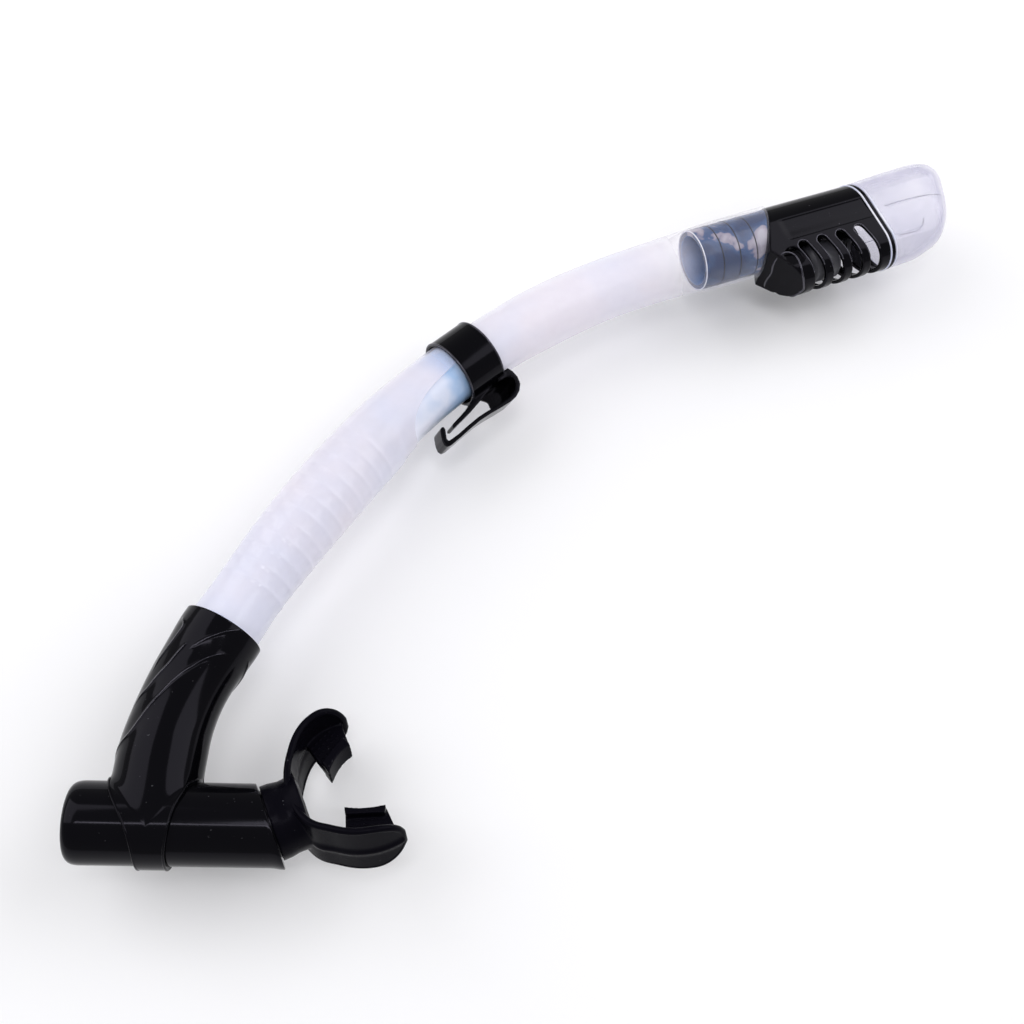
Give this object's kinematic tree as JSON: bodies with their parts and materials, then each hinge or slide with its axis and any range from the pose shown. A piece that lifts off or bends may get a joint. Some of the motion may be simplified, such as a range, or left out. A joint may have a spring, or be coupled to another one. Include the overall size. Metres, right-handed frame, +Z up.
{
  "type": "snorkel tube",
  "caption": "Dry-top snorkel with swivelling mouthpiece, purge barrel, bent hose, clear upper tube, float valve head and mask strap keeper.",
  "frame": {"origin": "centre of the footprint, at the height of the lowest point, with the snorkel lying on its side", "axes": "+Z up; +X from the purge end of the barrel towards the dry top; +Y from the mouthpiece towards the dry top; the bent tube lies level"},
  "size_m": [0.3446, 0.3186, 0.0407],
  "materials": {
    "black_plastic": "gloss",
    "black_elastomer": "gloss silicone",
    "milky_hose": "milky translucent silicone",
    "clear_tube": "milky clear",
    "blue_plastic": "tinted, seen through the clear tube",
    "clear_cap": "clear",
    "grey_float": "satin",
    "white_silicone": "satin",
    "pin_steel": "ground"
  },
  "bodies": {
    "snorkel": {"barrel": "black_plastic", "purge_cover": "black_plastic", "purge_seat": "black_plastic", "elbow": "black_plastic", "hose": "milky_hose", "hose_coupling": "blue_plastic", "upper_tube": "clear_tube", "top_connector": "blue_plastic", "connector_ring_lower": "black_elastomer", "connector_ring_middle": "black_elastomer", "connector_ring_upper": "black_elastomer", "valve_housing": "black_plastic", "valve_seat": "black_plastic", "lever_pin": "pin_steel", "trim_ring": "black_plastic", "top_cap": "clear_cap"},
    "keeper": {"keeper": "black_plastic"},
    "mouthpiece": {"mouthpiece": "black_elastomer", "mouth_collar": "black_plastic", "swivel_o_ring": "black_elastomer"},
    "float": {"float": "grey_float"},
    "flap": {"float_lever": "grey_float", "seal_disc": "white_silicone"},
    "diaphragm": {"purge_diaphragm": "white_silicone"}
  },
  "joints": [
    {"name": "mouthpiece_swivel", "type": "hinge", "parent": "snorkel", "child": "mouthpiece", "pos_m": [-0.10653, -0.14244, 0.02036], "axis": [0.9205, 0.3907, 0], "continuous": true},
    {"name": "keeper_turn", "type": "hinge", "parent": "snorkel", "child": "keeper", "pos_m": [-0.04417, 0.04387, 0.02036], "axis": [0.7388, 0.6739, 0], "continuous": true},
    {"name": "float_rise", "type": "slide", "parent": "snorkel", "child": "float", "axis": [0.9278, 0.373, 0], "range_m": [0, 0.0035]},
    {"name": "flap_hinge", "type": "hinge", "parent": "snorkel", "child": "flap", "pos_m": [0.12504, 0.11869, 0.02036], "axis": [0, 0, 1], "range_deg": [0, 30]},
    {"name": "purge_lift", "type": "slide", "parent": "snorkel", "child": "diaphragm", "axis": [-1, 0, 0], "range_m": [0, 0.0012], "stiffness_N_per_m": 20}
  ],
  "couplings": [
    {"joint": "flap_hinge", "follows": "float_rise", "rad_per_m": 149.5}
  ]
}
